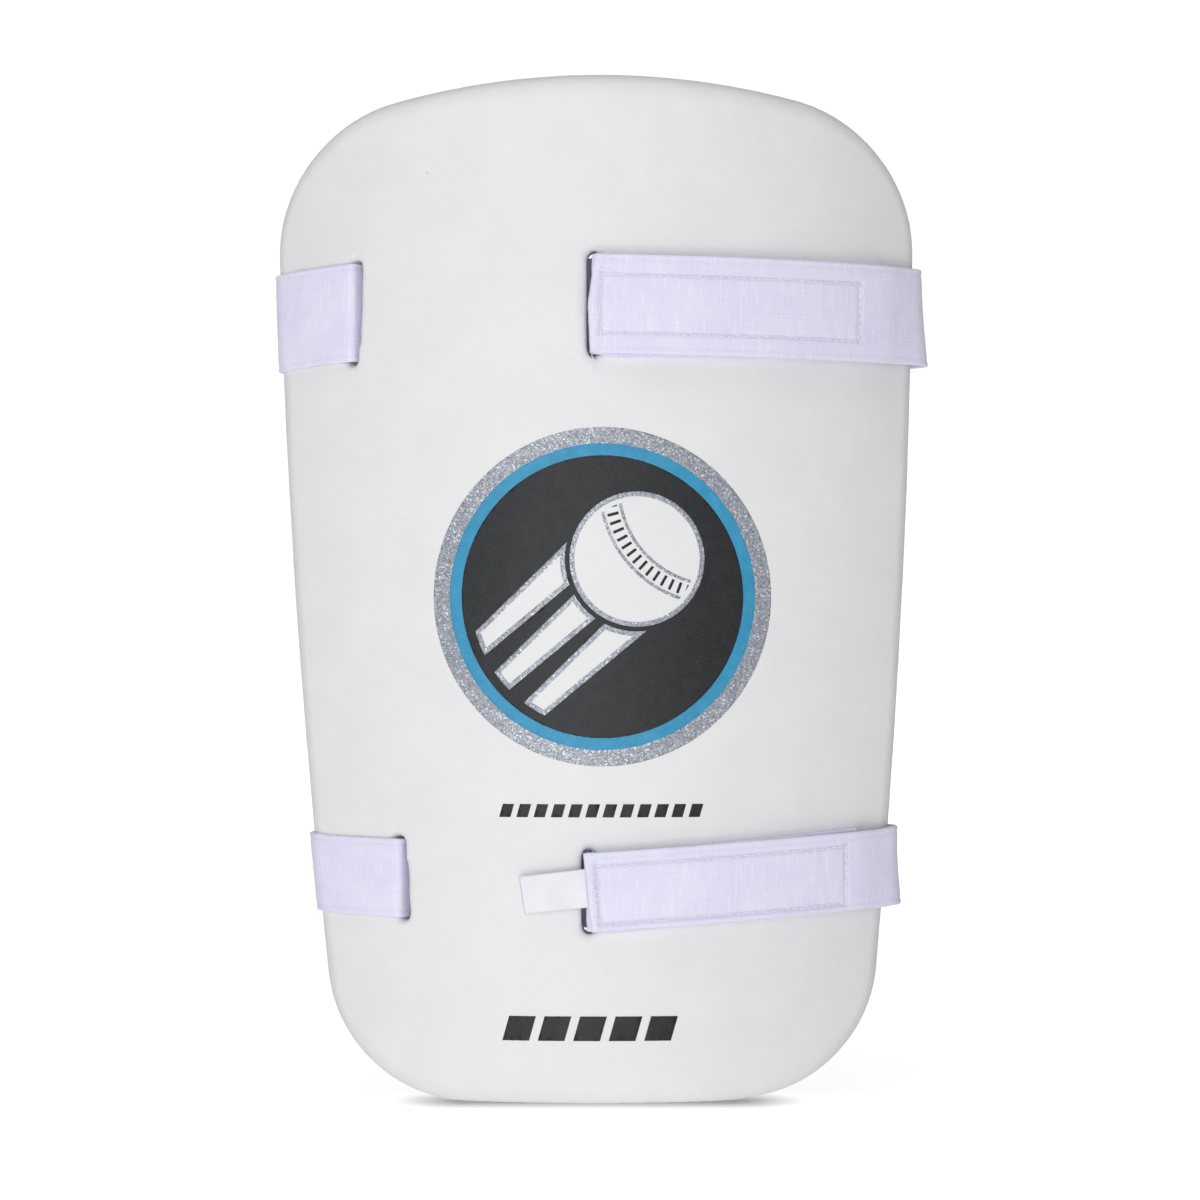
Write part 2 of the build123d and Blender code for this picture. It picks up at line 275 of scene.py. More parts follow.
def foam_material():
    """Close white moulded foam: a faintly mottled skin with fine pores, a few specks and a smudge or two."""
    n = Nodes("foam")
    place = n.place()
    mottle = n.noise(place, 55.0, 4.0, 0.6)
    grain = n.noise(place, 900.0, 3.0, 0.6)
    clean = n.mix(n.ramp(mottle, 0.3, 0.7), (0.80, 0.795, 0.81, 1), (0.845, 0.84, 0.845, 1))
    grained = n.mix(n.ramp(grain, 0.35, 0.75, 0.0, 0.35), clean, (0.77, 0.768, 0.785, 1))
    spots = n.add("TexVoronoi", {"Vector": place, "Scale": 38.0, "Randomness": 1.0})
    speck = n.math("LESS_THAN", spots.outputs["Distance"], 0.018)
    few = n.math("GREATER_THAN", n.noise(place, 21.0, 0.0), 0.58)
    specked = n.mix(n.math("MULTIPLY", n.math("MULTIPLY", speck, few), 0.4), grained, (0.42, 0.40, 0.38, 1))
    smudge = n.ramp(n.noise(n.scaled(place, (1.0, 1.0, 0.45)), 26.0, 2.0), 0.68, 0.8, 0.0, 0.12)
    colour = n.mix(smudge, specked, (0.66, 0.65, 0.66, 1))
    pores = n.noise(place, 1500.0, 2.0, 0.7)
    dents = n.noise(place, 240.0, 3.0)
    skin = n.math("ADD", n.math("MULTIPLY", pores, 0.35), n.math("MULTIPLY", dents, 0.65))
    n.bump(skin, 0.00022)
    roughness = n.ramp(mottle, 0.25, 0.75, 0.5, 0.62)
    return n.finish(colour, roughness, Specular_IOR_Level=0.4, Sheen_Weight=0.08)


RIB_SPACING, KNIT_SPACING = 0.00115, 0.0008  # of the elastic, in metres


def elastic_material():
    """White knitted elastic: ribs that run lengthwise, rubber threads that show as fine checks, and painted
    shade where its face is drawn in, along the seams and beside the selvedges."""
    n = Nodes("elastic")
    weave = n.weave()
    axes = n.add("SeparateXYZ", {"Vector": weave})
    along, across = axes.outputs["X"], axes.outputs["Y"]
    ribs = n.math("SINE", n.math("MULTIPLY", across, 2 * pi / RIB_SPACING))
    knit = n.math("SINE", n.math("MULTIPLY", along, 2 * pi / KNIT_SPACING))
    checks = n.math("MULTIPLY", ribs, knit)
    needles = n.noise(n.scaled(weave, (1150.0, 95.0, 1.0)), 1.0, 3.0, 0.7)
    threads = n.noise(n.scaled(weave, (60.0, 1600.0, 1.0)), 1.0, 2.0, 0.6)
    patchy = n.noise(n.scaled(weave, (50.0, 70.0, 1.0)), 1.0, 2.0)
    strength = n.ramp(n.noise(n.scaled(weave, (26.0, 90.0, 1.0)), 1.0), 0.35, 0.65, 0.02, 0.16)
    ribbed = n.math("MULTIPLY", ribs, strength)
    height = n.math("MULTIPLY_ADD", checks, 0.1, ribbed)
    height = n.math("MULTIPLY_ADD", needles, 1.1, height)
    height = n.math("MULTIPLY_ADD", threads, 0.5, height)
    n.bump(height, 0.0002)
    base = n.mix(n.ramp(patchy, 0.3, 0.7), (0.755, 0.745, 0.95, 1), (0.81, 0.805, 0.97, 1))
    lit = n.mix(n.ramp(needles, 0.52, 0.72, 0.0, 0.7), base, (0.91, 0.91, 1.0, 1))
    dark = n.mix(n.ramp(threads, 0.36, 0.2, 0.0, 0.5), lit, (0.6, 0.59, 0.76, 1))
    # painted shade: the colour darkens where the face is drawn in, along the seams and the selvedge dips
    hollow = n.add("Attribute", attribute_name="hollow").outputs["Fac"]
    drawn = n.mix(n.ramp(hollow, 0.2, 0.9, 0.0, 0.4), dark, (0.50, 0.49, 0.68, 1))
    return n.finish(drawn, n.ramp(needles, 0.3, 0.7, 0.8, 0.62), Sheen_Weight=0.25, Specular_IOR_Level=0.25)


# Shell


def shell():
    """The foam shell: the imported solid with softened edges, trued up where its facets left the front face,
    and with the slightly uneven front of a moulding."""
    mesh = frame["nodes"]["foam_shell"].data.copy()
    joined = bmesh.new()
    joined.from_mesh(mesh)
    bmesh.ops.remove_doubles(joined, verts=joined.verts, dist=0.01 * MM)
    joined.to_mesh(mesh)
    joined.free()
    rough = bpy.data.objects.new("rough", mesh)
    bpy.context.scene.collection.objects.link(rough)
    remesh = rough.modifiers.new("remesh", "REMESH")
    remesh.mode, remesh.voxel_size = "VOXEL", VOXEL * MM
    smooth = rough.modifiers.new("smooth", "SMOOTH")
    smooth.factor, smooth.iterations = 0.5, 5
    mesh = applied(rough)
    bpy.data.objects.remove(rough)
    points = coordinates(mesh)
    out, way = out_from_front(points)
    true = 1 - smoothstep(FACET / 2, FACET, np.abs(out))
    depth = smoothstep(-THICKNESS, -THICKNESS / 2, out)
    points += way * (depth * swells(points) - true * out)[:, None]
    low = points[:, 2] < FOOT_FLAT
    points[low, 2] = 0.0
    set_coordinates(mesh, points)
    body = add_object("moulded_foam_shell", mesh, foam_material())
    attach(body, "root")
    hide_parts("foam_shell")


# Straps


def edge_x(z, top, middle, bottom):
    """x at height z on the side of the outline through these three points."""
    (xa, za), (xb, zb), (xc, zc) = top, middle, bottom
    first, second = (xb - xa) / (zb - za), (xc - xb) / (zc - zb)
    return xa + first * (z - za) + (second - first) / (zc - za) * (z - za) * (z - zb)


def bow(radius, start, end, lead):
    """Three corners of a path that runs about the wrap axis from angle to angle."""
    half, part = (end - start) / 2, lead / radius
    return [
        polar(radius / cos(part), start),
        polar(radius / cos(abs(half) - part), start + half),
        polar(radius / cos(part), end),
    ]


def edge_corners(z, x, side, gap):
    """A strap's corners around one side of the shell: at the front face's edge and the back's."""
    out = gap + WEBBING / 2
    radius = front_radius(z)
    angle = asin(x / radius)
    return [
        polar(radius + out, angle) + tangent(angle) * out * side,
        polar(radius - THICKNESS - out, angle) + tangent(angle) * out * side,
    ]


def course(strap, z):
    """A strap's whole course in plan at height z, from the tab's free end round the back to the belt's end,
    and the radius of each of its corners."""
    top = front_radius(z, TAB_LAYER + WEBBING / 2)
    low = front_radius(z, BELT_LAYER + WEBBING / 2)
    behind = front_radius(z, -THICKNESS + BED_DEPTH - BELT_LAYER - WEBBING / 2)
    right_x = edge_x(z, TOP_RIGHT, MIDDLE_RIGHT, BOTTOM_RIGHT)
    left_x = edge_x(z, TOP_LEFT, MIDDLE_LEFT, BOTTOM_LEFT)
    free, end = asin(strap.free_end / top), asin(strap.belt_end / low)
    away = asin((left_x + LEFT_LEAD) / low)
    outer, inner = (asin(x / front_radius(z)) for x in (strap.side_slot, strap.front_slot))
    corners = [
        *bow(top, free, end, TAB_LEAD),
        *edge_corners(z, right_x, 1, RIGHT_GAP),
        *edge_corners(z, left_x, -1, LEFT_GAP)[::-1],
        *bow(low, away, outer, SLOT_LEAD),
        *bow(behind, outer, inner, SLOT_LEAD),
        *bow(low, inner, end, SLOT_LEAD),
    ]
    right, left = RIGHT_GAP + WEBBING / 2, LEFT_GAP + WEBBING / 2
    turns = [top, TAB_BEND, FRONT_ROUNDING + right, BACK_ROUNDING + right]
    turns += [BACK_ROUNDING + left, FRONT_ROUNDING + left, STACK_BEND, low]
    return corners, turns + [SLOT_BEND, SLOT_BEND, behind, SLOT_BEND, SLOT_BEND, low]


def stretches(corners, turns):
    """The path's runs and arcs in turn. A run is two points, and an arc its start, centre and angle."""
    parts, start = [], corners[0]
    for before, corner, after, radius in zip(corners, corners[1:], corners[2:], turns):
        into, out = corner - before, after - corner
        into, out = into / np.linalg.norm(into), out / np.linalg.norm(out)
        turn = atan2(into[0] * out[1] - into[1] * out[0], into @ out)
        reach = radius * tan(abs(turn) / 2)
        left = np.array((-into[1], into[0])) * (1 if turn > 0 else -1)
        touch = corner - into * reach
        parts += [(start, touch), (touch, touch + left * radius, turn)]
        start = corner + out * reach
    return parts + [(start, corners[-1])]


def part_length(part):
    if len(part) == 2:
        return np.linalg.norm(part[1] - part[0])
    return np.linalg.norm(part[0] - part[1]) * abs(part[2])


def along_part(part, t):
    if len(part) == 2:
        return part[0] + (part[1] - part[0]) * t
    arm, angle = part[0] - part[1], part[2] * t
    turned = np.array((arm[0] * cos(angle) - arm[1] * sin(angle), arm[0] * sin(angle) + arm[1] * cos(angle)))
    return part[1] + turned


# Which stretch of a strap's course is which. Runs have even numbers, and arcs have odd ones.
TAB_PARTS = range(0, 8)  # from the free end to where the elastic has turned behind the right edge
BELT_PARTS = range(8, 29)
TAB_FRONT = 5  # the arc about the shell's front right edge
LEFT_BACK = 9
BELT_END_PARTS = range(25, 29)

SELVEDGE = 1.9  # from the elastic's edges to the line inside each
SELVEDGE_DEPTH = 0.22
SELVEDGE_WIDTH = 0.5


def selvedge(v, width):
    """How the elastic dips just inside its edges."""
    return -SELVEDGE_DEPTH * np.exp(-(((width / 2 - np.abs(v) - SELVEDGE) / SELVEDGE_WIDTH) ** 2))


class Grid:
    """A strap's middle surface over some of its stretches, as rows along it and columns across it."""

    def __init__(self, strap, numbers, fine):
        self.strap = strap
        plans = [stretches(*course(strap, z)) for z in strap.levels]
        steps = []
        for number in numbers:
            length = part_length(plans[1][number])
            spacing = fine if number < TAB_FRONT or number > LEFT_BACK + 2 else COARSE
            curved = abs(plans[1][number][2]) / radians(12) if number % 2 else 0
            count = max(1, ceil(length / spacing), ceil(curved) if length < 30 else 0)
            ts = np.arange(1, count + 1) / count
            if not steps:
                ts = np.concatenate(([0.0], ts))
            steps += [(number, t) for t in ts]
        self.number = np.array([n for n, _ in steps])
        paths = np.array([[along_part(plan[n], t) for n, t in steps] for plan in plans])
        low, middle, high = strap.levels
        half = (high - low) / 2
        self.rise = (paths[2] - paths[0]) / (2 * half)
        self.bend = (paths[2] - 2 * paths[1] + paths[0]) / (2 * half * half)
        self.plan, self.level = paths[1], middle
        gaps = np.linalg.norm(np.diff(self.plan, axis=0), axis=1)
        self.u = np.concatenate(([0.0], np.cumsum(gaps)))
        self.centre = self.heights()
        count = round(strap.width / COLUMN)
        inner = np.linspace(-strap.width / 2 + EDGE_SOFTNESS, strap.width / 2 - EDGE_SOFTNESS, count)
        self.v = np.concatenate(([-strap.width / 2], inner, [strap.width / 2]))

    def heights(self):
        """The height of the strap's middle at each row."""
        left, side, front, right = self.strap.heights
        x = self.plan[:, 0]
        places = (TOP_LEFT[0], self.strap.side_slot, self.strap.front_slot, TOP_RIGHT[0])
        across = np.interp(x, places, (left, side, front, right))
        behind = np.interp(x, (TOP_LEFT[0], TOP_RIGHT[0]), (left, right))
        at_back = (self.number >= TAB_FRONT) & (self.number <= LEFT_BACK + 2)
        line = np.where(at_back, behind, across)
        padded = np.concatenate((np.full(4, line[0]), line, np.full(4, line[-1])))
        return np.convolve(padded, np.ones(9) / 9, mode="valid")

    def surface(self, drop=0.0, lift=None):
        """Points of the middle surface, and the way out of it. drop lowers each row, and lift moves each
        point out of the surface."""
        z = self.centre[:, None] + drop + self.v[None, :]
        up = z - self.level
        plan = self.plan[:, None] + self.rise[:, None] * up[:, :, None]
        plan += self.bend[:, None] * (up**2)[:, :, None]
        points = np.concatenate((plan, z[:, :, None]), axis=2)
        if lift is not None:
            points = points + self.normals(points) * lift[:, :, None]
        return points, self.normals(points)

    def normals(self, points):
        along = np.gradient(points, axis=0)
        across = np.gradient(points, axis=1)
        out = np.cross(along, across)
        return out / np.linalg.norm(out, axis=2)[:, :, None]


def webbing(name, grid, points, out, relief, material):
    """A closed strip of elastic about a middle surface. relief is how far its outer face is raised, and the
    mesh's hollow attribute, from 0 to 1, says how far it is drawn in; the elastic's material paints shade
    there by it."""
    thick = np.full(len(grid.v), WEBBING / 2)
    thick[[0, -1]] = WEBBING / 4
    outer = points + out * (thick[None, :, None] + relief[:, :, None])
    inner = points - out * thick[None, :, None]
    piece = slab(name, outer, inner, grid.u, grid.v, material)
    hollow = np.clip(-np.concatenate((relief, np.zeros_like(relief)), axis=1) / SEAM_GROOVE, 0, 1)
    piece.data.attributes.new("hollow", "FLOAT", "POINT").data.foreach_set("value", hollow.ravel())
    return piece, outer


def slab(name, outer, inner, u, v, material):
    """A closed sheet between two grids of points. u and v are its lengths along the rows and columns."""
    rows, columns = len(u), len(v)
    around = np.concatenate((outer, inner[:, ::-1]), axis=1)
    ring = 2 * columns
    faces = []
    for i in range(rows - 1):
        for j in range(ring):
            a, b = i * ring + j, i * ring + (j + 1) % ring
            faces.append((a, b, b + ring, a + ring))
    for i in (0, rows - 1):
        for j in range(columns - 1):
            quad = [i * ring + j, i * ring + j + 1, i * ring + ring - 2 - j, i * ring + ring - 1 - j]
            faces.append(quad if i == 0 else quad[::-1])
    faces = [face[::-1] for face in faces]
    across = np.concatenate((v, v[::-1]))
    uvs = np.stack(np.meshgrid(u, across, indexing="ij"), axis=2).reshape(-1, 2)
    return make(name, around.reshape(-1, 3), faces, material, uvs)


def wobble(grid, size, span, seed, stretch=1.0):
    """Uneven numbers over a strap, up to about this size."""
    values = [[noise.noise(Vector((u / span, v / span * stretch, seed))) for v in grid.v] for u in grid.u]
    return size * np.array(values)


FLARE = {"upper": 2.6, "lower": 3.1}  # how far each strap's lower corner stands off the right edge
FLARE_REACH = 16.0
FLARE_CURVE = 1.6


def flare(grid):
    """The slack of a tab where it turns around the right edge: its lower side stands away."""
    places = grid.u[grid.number == TAB_FRONT]
    middle = (places[0] + places[-1]) / 2
    near = np.exp(-(((grid.u - middle) / FLARE_REACH) ** 2))
    near *= 1 - smoothstep(grid.u[-1] - FLARE_REACH / 2, grid.u[-1], grid.u)
    down = (0.5 - grid.v / grid.strap.width) ** FLARE_CURVE
    return FLARE[grid.strap.name] * near[:, None] * down[None, :]


END_SLANT = {"upper": (0.6, 1.3, -1.0), "lower": (-1.5, 0.0, 1.2)}  # to the left, at bottom, middle and top
END_REACH = 9.0


def end_slant(grid, points):
    """The tab's free end isn't cut square: it runs further along, or falls short, at its corners."""
    half = grid.strap.width / 2
    slant = np.interp(grid.v, (-half, 0.0, half), END_SLANT[grid.strap.name])
    along = points[0] - points[4]
    along = along / np.linalg.norm(along, axis=1)[:, None]
    fade = 1 - smoothstep(0.0, END_REACH, grid.u)
    return along[None] * (slant[:, None] * fade[:, None, None])


SEAM_SPAN = 18.6  # between a tab's two long lines of sewing
SEAM_START = 3.4
SEAM_INSET = 1.4
SEAM_DROP = {"upper": 0.0, "lower": 1.0}
SEAM_GROOVE = 0.45
SEAM_WIDTH = 0.75
HEM = 3.0
HEM_STEP = 0.3


def seam_box(grid):
    """A tab's seam rectangle: its ends along the tab, and its lines across it."""
    strap = grid.strap
    front = grid.number < TAB_FRONT
    start = grid.u[0] + SEAM_START
    end = np.interp(strap.hook_end - SEAM_INSET, grid.plan[front, 0], grid.u[front])
    middle = -SEAM_DROP[strap.name]
    return start, end, middle - SEAM_SPAN / 2, middle + SEAM_SPAN / 2


def tab_relief(grid):
    """The tab's outer face: drawn in along its seams, a little full beside them, and thicker at its hem."""
    start, end, low, high = seam_box(grid)
    u, v = grid.u[:, None], grid.v[None, :]
    inside_u = (u > start - 1) & (u < end + 1)
    inside_v = (v > low - 1) & (v < high + 1)
    lines = np.minimum(
        np.where(inside_u, np.minimum(np.abs(v - low), np.abs(v - high)), 99.0),
        np.where(inside_v, np.minimum(np.abs(u - start), np.abs(u - end)), 99.0),
    )
    relief = -SEAM_GROOVE * np.exp(-((lines / SEAM_WIDTH) ** 2))
    within = (u > start) & (u < end) & (v > low) & (v < high)
    puckers, ripples = wobble(grid, 0.10, 2.2, 3.0, 0.12), wobble(grid, 0.08, 5.0, 5.0)
    relief += np.where(within, puckers, ripples)
    relief += HEM_STEP * (1 - smoothstep(HEM - 0.6, HEM, u)) * np.ones_like(v)
    return relief + selvedge(v, grid.strap.width)


def straps():
    elastic = elastic_material()
    grids = {}
    for strap in (UPPER, LOWER):
        tab = Grid(strap, TAB_PARTS, FINE)
        lift = flare(tab) + wobble(tab, 0.22, 26.0, 1.0)
        points, out = tab.surface(lift=lift)
        points = points + end_slant(tab, points)
        piece, face = webbing(strap.name + "_strap_tab", tab, points, out, tab_relief(tab), elastic)
        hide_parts(strap.name + "_tab")
        joint = next(j for j in frame["joints"] if j["name"] == strap.name + "_tab_peel")
        hinge_blend(piece, joint, tab)
        grids[strap.name] = (tab, face, out)

        belt = Grid(strap, BELT_PARTS, FINE * 1.4)
        drop = belt_shift(belt)
        points, out = belt.surface(drop=drop[:, None])
        relief = wobble(belt, 0.06, 4.0, 9.0) + selvedge(belt.v, strap.width)[None, :]
        piece, _ = webbing(strap.name + "_strap_belt", belt, points, out, relief, elastic)
        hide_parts(strap.name + "_belt")
        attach(piece, "root")
    return grids


PEEK = (-1.0, 1.1)  # how far the strap's end under the tab shows past it, at the slot and at its own end


def belt_shift(grid):
    """The strap's end lies a little askew under the tab."""
    strap = grid.strap
    ended = np.isin(grid.number, BELT_END_PARTS)
    shift = np.interp(grid.plan[:, 0], (strap.front_slot, strap.belt_end), PEEK)
    slot = smoothstep(strap.front_slot - 1, strap.front_slot + 8, grid.plan[:, 0])
    return np.where(ended, shift * slot, 0.0)


def hinge_blend(piece, joint, grid):
    """Finds the tab's row nearest its hinge, then bakes the piece's placement into its mesh; the elastic is
    not bent.
    """
    place = Vector(joint["pos_m"])
    nearest = np.argmin(np.linalg.norm(grid.plan - np.array(place[:2]) / MM, axis=1))
    along = grid.plan[nearest - 1] - grid.plan[nearest]
    along = Vector((along[0], along[1], 0.0)).normalized() * MM
    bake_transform(piece)


# Hook and loop patches

PATCH_INSET = 2.2
LOOP_START = 2.0
HOOK_WIDTH = 21.0
PILE_STEP = 0.55
PILE_ROUGHNESS = 0.22
HOOK_STEP = 1.3
HOOK_HEIGHT = 0.5
HOOK_SIZE = 0.24
HOOK_LEAN = HOOK_SIZE * 1.6


def front_grid(strap, start, end, width, drop, step):
    """Places on the front along a strap's slope: lengths along and across, and x and z of each."""
    front, right = strap.heights[2:]
    slope = (right - front) / (TOP_RIGHT[0] - strap.front_slot)
    xs = np.linspace(start, end, ceil((end - start) / step) + 1)
    vs = np.linspace(-width / 2, width / 2, ceil(width / step) + 1)
    zs = front + (xs - strap.front_slot) * slope - drop
    angles = np.arcsin(xs / WRAP_RADIUS)
    return (angles - angles[0]) * WRAP_RADIUS, vs, xs, zs[:, None] + vs[None, :]


def front_points(xs, zs, out):
    """A grid of points on the front, each standing this far out from it."""
    out = np.broadcast_to(out, zs.shape)
    return np.array([[front_point(x, z, o) for z, o in zip(zs[i], out[i])] for i, x in enumerate(xs)])


def roughened(us, vs, size, span, seed):
    return size * np.array([[noise.noise(Vector((u / span, v / span, seed))) for v in vs] for u in us])


def loop_patch(strap, material):
    """The pile that the hooks hold on to, sewn to the strap's end."""
    end = strap.belt_end - PATCH_INSET
    width = strap.width - 2 * PATCH_INSET
    us, vs, xs, zs = front_grid(strap, LOOP_START, end, width, 0.0, PILE_STEP)
    pile = roughened(us, vs, PILE_ROUGHNESS, 0.8, 2.0)
    pile[[0, -1]] = pile[:, [0, -1]] = -PILE_ROUGHNESS
    outer = front_points(xs, zs, LOOP_LAYER[1] - 0.1 + pile)
    piece = slab(strap.name + "_loop_pile", outer, front_points(xs, zs, LOOP_LAYER[0]), us, vs, material)
    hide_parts(strap.name + "_loop_patch")
    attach(piece, "root")


def hook_patch(strap, material):
    """The hook tape under the tab, with its rows of bent hooks towards the pile."""
    start, end = strap.free_end + PATCH_INSET, strap.hook_end
    us, vs, xs, zs = front_grid(strap, start, end, HOOK_WIDTH, SEAM_DROP[strap.name], 1.0)
    outer, inner = front_points(xs, zs, HOOK_LAYER[1]), front_points(xs, zs, HOOK_LAYER[0])
    tape = slab(strap.name + "_hook_tape", outer, inner, us, vs, material)
    inset = HOOK_WIDTH - 2 * HOOK_STEP
    first, last = start + HOOK_STEP, end - HOOK_STEP
    _, _, xs, zs = front_grid(strap, first, last, inset, SEAM_DROP[strap.name], HOOK_STEP)
    bristles = Tubes()
    for i, x in enumerate(xs):
        lean = HOOK_LEAN if i % 2 else -HOOK_LEAN
        for z in zs[i]:
            stem = [front_point(x, z, HOOK_LAYER[0] + HOOK_SIZE / 2)]
            stem.append(front_point(x, z, HOOK_LAYER[0] - HOOK_HEIGHT * 0.7))
            stem.append(front_point(x + lean, z, HOOK_LAYER[0] - HOOK_HEIGHT))
            bristles.add(stem, HOOK_SIZE / 2, 4)
    hooks = bristles.make(strap.name + "_hooks", material)
    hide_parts(strap.name + "_hook_patch")
    for piece in (tape, hooks):
        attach(piece, strap.name + "_tab")


# Sewing


class Tubes:
    """Many short threads, gathered into one mesh."""

    def __init__(self):
        self.points, self.faces = [], []

    def add(self, path, radius, sides=6):
        """One thread along these points, thinner at its ends."""
        path = [np.asarray(p, dtype=float) for p in path]
        first = len(self.points)
        for i, p in enumerate(path):
            along = path[min(i + 1, len(path) - 1)] - path[max(i - 1, 0)]
            along = along / np.linalg.norm(along)
            guide = np.array((0.0, 0.0, 1.0)) if abs(along[2]) < 0.8 else np.array((0.0, 1.0, 0.0))
            side = np.cross(along, guide)
            side = side / np.linalg.norm(side)
            up = np.cross(side, along)
            size = radius * (0.6 if i in (0, len(path) - 1) else 1.0)
            for k in range(sides):
                angle = 2 * pi * k / sides
                self.points.append(p + side * cos(angle) * size + up * sin(angle) * size)
        for i in range(len(path) - 1):
            for k in range(sides):
                a, b = first + i * sides + k, first + i * sides + (k + 1) % sides
                self.faces.append((a, b, b + sides, a + sides))
        last = len(self.points) - sides
        self.faces.append(tuple(range(first + sides - 1, first - 1, -1)))
        self.faces.append(tuple(range(last, last + sides)))

    def make(self, name, material):
        return make(name, self.points, self.faces, material)


THREAD_RADIUS = 0.2
STITCH = 2.5
STITCH_LENGTH = 2.2
STITCH_SUNK = 0.14
STITCH_PROUD = 0.3
ZIGZAG_STEP = 1.15
ZIGZAG_WIDTH = 2.0
LOOSE_END = [(0.5, -0.5, 0.1), (0.3, -0.9, -1.4), (0.9, -0.8, -2.9), (0.7, -0.4, -4.3), (1.2, -0.3, -5.2)]


class Seams:
    """Sews on a tab's outer face, in lengths along and across it."""

    def __init__(self, grid, face, out, seed):
        self.grid, self.face, self.out = grid, face, out
        self.threads = Tubes()
        self.random = np.random.default_rng(seed)

    def at(self, u, v, proud):
        row = np.interp(u, self.grid.u, np.arange(len(self.grid.u)))
        column = np.interp(v, self.grid.v, np.arange(len(self.grid.v)))
        i, j = min(int(row), len(self.grid.u) - 2), min(int(column), len(self.grid.v) - 2)
        a, b = row - i, column - j
        near = self.face[i : i + 2, j : j + 2] + self.out[i : i + 2, j : j + 2] * proud
        return (1 - a) * ((1 - b) * near[0, 0] + b * near[0, 1]) + a * ((1 - b) * near[1, 0] + b * near[1, 1])

    def stitch(self, start, end):
        """One stitch, which goes down into the elastic at both ends."""
        path = []
        for t in np.linspace(0, 1, 7):
            u, v = (1 - t) * start[0] + t * end[0], (1 - t) * start[1] + t * end[1]
            path.append(self.at(u, v, STITCH_PROUD * sin(pi * t) ** 0.5 - STITCH_SUNK))
        self.threads.add(path, THREAD_RADIUS)

    def line(self, start, end, shift=0.0, wander=0.12):
        """A row of stitches from one place to another."""
        start, end = np.array(start), np.array(end)
        length = np.linalg.norm(end - start)
        way = (end - start) / length
        side = np.array((-way[1], way[0]))
        count = round(length / STITCH)
        drift = 0.0
        for i in range(count):
            drift = 0.7 * drift + self.random.normal(0, wander)
            begin = start + way * ((i + shift) * length / count) + side * drift
            self.stitch(begin, begin + way * STITCH_LENGTH + side * self.random.normal(0, 0.06))

    def zigzag(self, u, low, high, width):
        """A dense zigzag across the tab."""
        count = round((high - low) / ZIGZAG_STEP)
        places = np.linspace(low, high, count + 1)
        for i in range(count):
            ends = (u - width / 2, u + width / 2) if i % 2 else (u + width / 2, u - width / 2)
            jitter = self.random.normal(0, 0.1, 2)
            self.stitch((ends[0] + jitter[0], places[i]), (ends[1] + jitter[1], places[i + 1]))


def sew_tab(strap, grid, face, out, material):
    """The seam rectangle with its doubled right side, and the tab's end: a hem line, back tacks and a loose
    thread on the upper tab, and a zigzag and a second line on the lower one."""
    start, end, low, high = seam_box(grid)
    seams = Seams(grid, face, out, seed=len(strap.name) + round(strap.width))
    half = strap.width / 2
    seams.line((start, high), (end, high))
    seams.line((end, high), (end, low))
    seams.line((end + 0.45, high + 0.3), (end + 0.45, low), shift=0.4)
    seams.line((end, low), (start, low))
    if strap is UPPER:
        seams.line((start, low - 3.5), (start, high + 1.0))
        seams.line((start - 2.2, high + 0.2), (start + 5.0, high + 0.5), shift=0.3, wander=0.2)
        seams.line((start - 2.0, high + 1.7), (start + 3.0, high + 1.2), shift=0.1, wander=0.3)
        corner = seams.at(0.3, -half + 0.4, 0.0)
        seams.threads.add([corner + np.array(p) for p in LOOSE_END], THREAD_RADIUS * 0.7)
    else:
        seams.zigzag(start - 0.6, -half + 1.6, half - 3.0, ZIGZAG_WIDTH)
        seams.line((start + 1.0, low), (start + 1.0, high - 1.0), shift=0.5, wander=0.2)
    piece = seams.threads.make(strap.name + "_tab_seams", material)
    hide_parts(strap.name + "_tab_stitching")
    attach(piece, strap.name + "_tab")


# Size label

LABEL_CORNERS = [(-25.3, 73.9), (-4.9, 76.3), (-4.9, 63.8), (-23.4, 61.7)]
LABEL_ROOT = 3.0  # of it lies under the tab
LABEL_STEP = 0.6
LABEL_CURL = 0.9
LABEL_RIPPLE = 0.35


def size_label(material):
    """The blank satin tag that is sewn in under the lower tab's free end."""
    top_left, top_right, low_right, low_left = (np.array(c) for c in LABEL_CORNERS)
    long, wide = np.linalg.norm(top_right - top_left), np.linalg.norm(top_right - low_right)
    us = np.linspace(0, long + LABEL_ROOT, round((long + LABEL_ROOT) / LABEL_STEP))
    vs = np.linspace(-wide / 2, wide / 2, round(wide / LABEL_STEP))
    outer, inner = np.zeros((len(us), len(vs), 3)), np.zeros((len(us), len(vs), 3))
    thick = (LABEL_LAYER[1] - LABEL_LAYER[0]) / 2
    for i, u in enumerate(us):
        top, low = (b + (a - b) * (1 - u / long) for a, b in ((top_left, top_right), (low_left, low_right)))
        free = max(0.0, 1 - u / long)
        for j, v in enumerate(vs):
            x, z = low + (top - low) * (v / wide + 0.5)
            curl = LABEL_CURL * free**2 * (0.75 - 0.5 * v / wide)
            curl += LABEL_RIPPLE * free * noise.noise(Vector((u / 9, v / 7, 4.0)))
            middle = sum(LABEL_LAYER) / 2 + curl
            outer[i, j], inner[i, j] = front_point(x, z, middle + thick), front_point(x, z, middle - thick)
    piece = slab("size_tag", outer, inner, us, vs, material)
    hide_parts("size_label")
    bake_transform(piece)


# Prints

PRINT_STEP = 3.0
CUT_SNAP = 1e-7
CREASE = radians(40)


